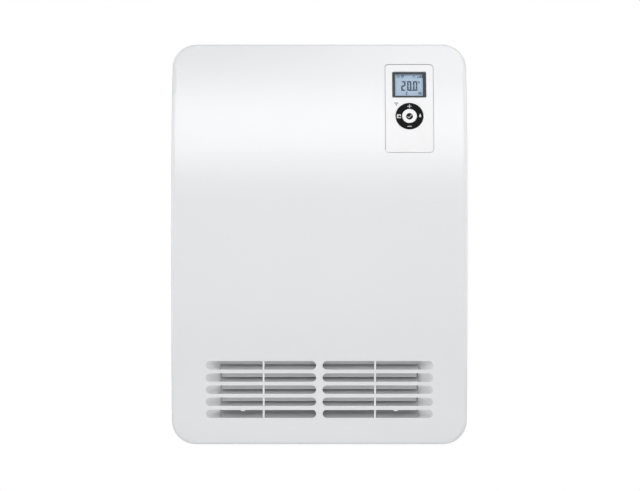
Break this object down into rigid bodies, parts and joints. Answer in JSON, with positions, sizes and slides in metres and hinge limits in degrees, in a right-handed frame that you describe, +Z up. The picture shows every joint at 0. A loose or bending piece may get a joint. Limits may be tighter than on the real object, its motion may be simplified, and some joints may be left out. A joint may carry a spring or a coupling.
{
  "type": "wall-mounted fan heater",
  "caption": "Wall fan heater with a bowed white steel casing, slotted air outlet below and a tilted control panel with display and key ring; a cross-flow fan blows through a finned element.",
  "frame": {"origin": "centre of the wall bracket's screw pattern, on the wall, at the heater's mid width and mid height", "axes": "+X to the right as seen from the room, +Y into the wall, +Z up"},
  "size_m": [0.345, 0.127, 0.472],
  "materials": {
    "white_powder_coat": "fine satin powder coat on sheet steel",
    "galvanised_sheet": "galvanised sheet, dull with a faint spangle",
    "zinc_plated_steel": "bright zinc plating",
    "bare_steel": "ground steel",
    "laminated_iron": "stacked electrical sheet",
    "white_moulding": "fine-textured white moulding",
    "fascia_plastic": "polished white moulding",
    "key_plastic": "black moulded keys, half gloss",
    "clear_window": "clear acrylic window",
    "display": "pale blue liquid-crystal display",
    "grey_moulding": "plain grey moulding",
    "circuit_board": "green solder resist",
    "black_rubber": "soft black rubber",
    "silicone": "grey silicone",
    "bare_aluminium": "mill finish",
    "bearing_bronze": "sintered bronze",
    "terminal_brass": "plain brass",
    "copper_winding": "enamelled copper wire",
    "heat_plastic": "dark heat-resistant moulding",
    "black_component": "black component case",
    "natural_plastic": "natural nylon"
  },
  "bodies": {
    "housing": {"front_casing": "white_powder_coat", "back_panel": "galvanised_sheet", "scroll_plate": "galvanised_sheet", "duct_roof": "galvanised_sheet", "left_end_plate": "galvanised_sheet", "right_end_plate": "galvanised_sheet", "casing_screws": "zinc_plated_steel", "wall_bracket": "zinc_plated_steel", "blower_screws": "zinc_plated_steel", "motor_screws": "zinc_plated_steel", "board_screws": "zinc_plated_steel", "control_screws": "zinc_plated_steel", "heater_tabs": "zinc_plated_steel", "motor_stator": "laminated_iron", "outlet_grille": "white_moulding", "control_fascia": "fascia_plastic", "display_lens": "clear_window", "lcd_panel": "display", "outlet_vanes": "grey_moulding", "lcd_holder": "grey_moulding", "control_cover": "grey_moulding", "power_board": "circuit_board", "control_board": "circuit_board", "wall_spacers": "black_rubber", "cable_grommet": "black_rubber", "bearing_rubber": "black_rubber", "key_mat": "silicone", "heater_bars": "bare_aluminium", "heater_fins": "bare_aluminium", "inner_bearing_bridge": "bare_aluminium", "outer_bearing_bridge": "bare_aluminium", "bearing_bush": "bearing_bronze", "motor_bushes": "bearing_bronze", "terminal_screws": "terminal_brass", "earth_stud": "terminal_brass", "earth_nut": "terminal_brass", "motor_coil": "copper_winding", "heater_ends": "heat_plastic", "thermal_cutout": "heat_plastic", "relays": "black_component", "transformer": "black_component", "smoothing_capacitor": "black_component", "room_sensor": "black_component", "motor_bobbin": "natural_plastic", "board_posts": "natural_plastic", "terminal_block": "natural_plastic", "sensor_post": "natural_plastic"},
    "fan": {"impeller": "bare_aluminium", "stub_shaft": "bare_steel", "motor_shaft": "bare_steel", "motor_rotor": "laminated_iron"},
    "plus_key": {"plus_key": "key_plastic"},
    "minus_key": {"minus_key": "key_plastic"},
    "menu_key": {"menu_key": "key_plastic"},
    "mode_key": {"mode_key": "key_plastic"},
    "ok_key": {"ok_key": "fascia_plastic"}
  },
  "joints": [
    {"name": "fan_spin", "type": "hinge", "parent": "housing", "child": "fan", "pos_m": [0, -0.05624, -0.11], "axis": [1, 0, 0], "continuous": true},
    {"name": "plus_press", "type": "slide", "parent": "housing", "child": "plus_key", "axis": [0, 0.9442, -0.3294], "range_m": [0, 0.0008], "stiffness_N_per_m": 1500},
    {"name": "minus_press", "type": "slide", "parent": "housing", "child": "minus_key", "axis": [0, 0.9442, -0.3294], "range_m": [0, 0.0008], "stiffness_N_per_m": 1500},
    {"name": "menu_press", "type": "slide", "parent": "housing", "child": "menu_key", "axis": [0, 0.9442, -0.3294], "range_m": [0, 0.0008], "stiffness_N_per_m": 1500},
    {"name": "mode_press", "type": "slide", "parent": "housing", "child": "mode_key", "axis": [0, 0.9442, -0.3294], "range_m": [0, 0.0008], "stiffness_N_per_m": 1500},
    {"name": "ok_press", "type": "slide", "parent": "housing", "child": "ok_key", "axis": [0, 0.9442, -0.3294], "range_m": [0, 0.0008], "stiffness_N_per_m": 1500}
  ]
}
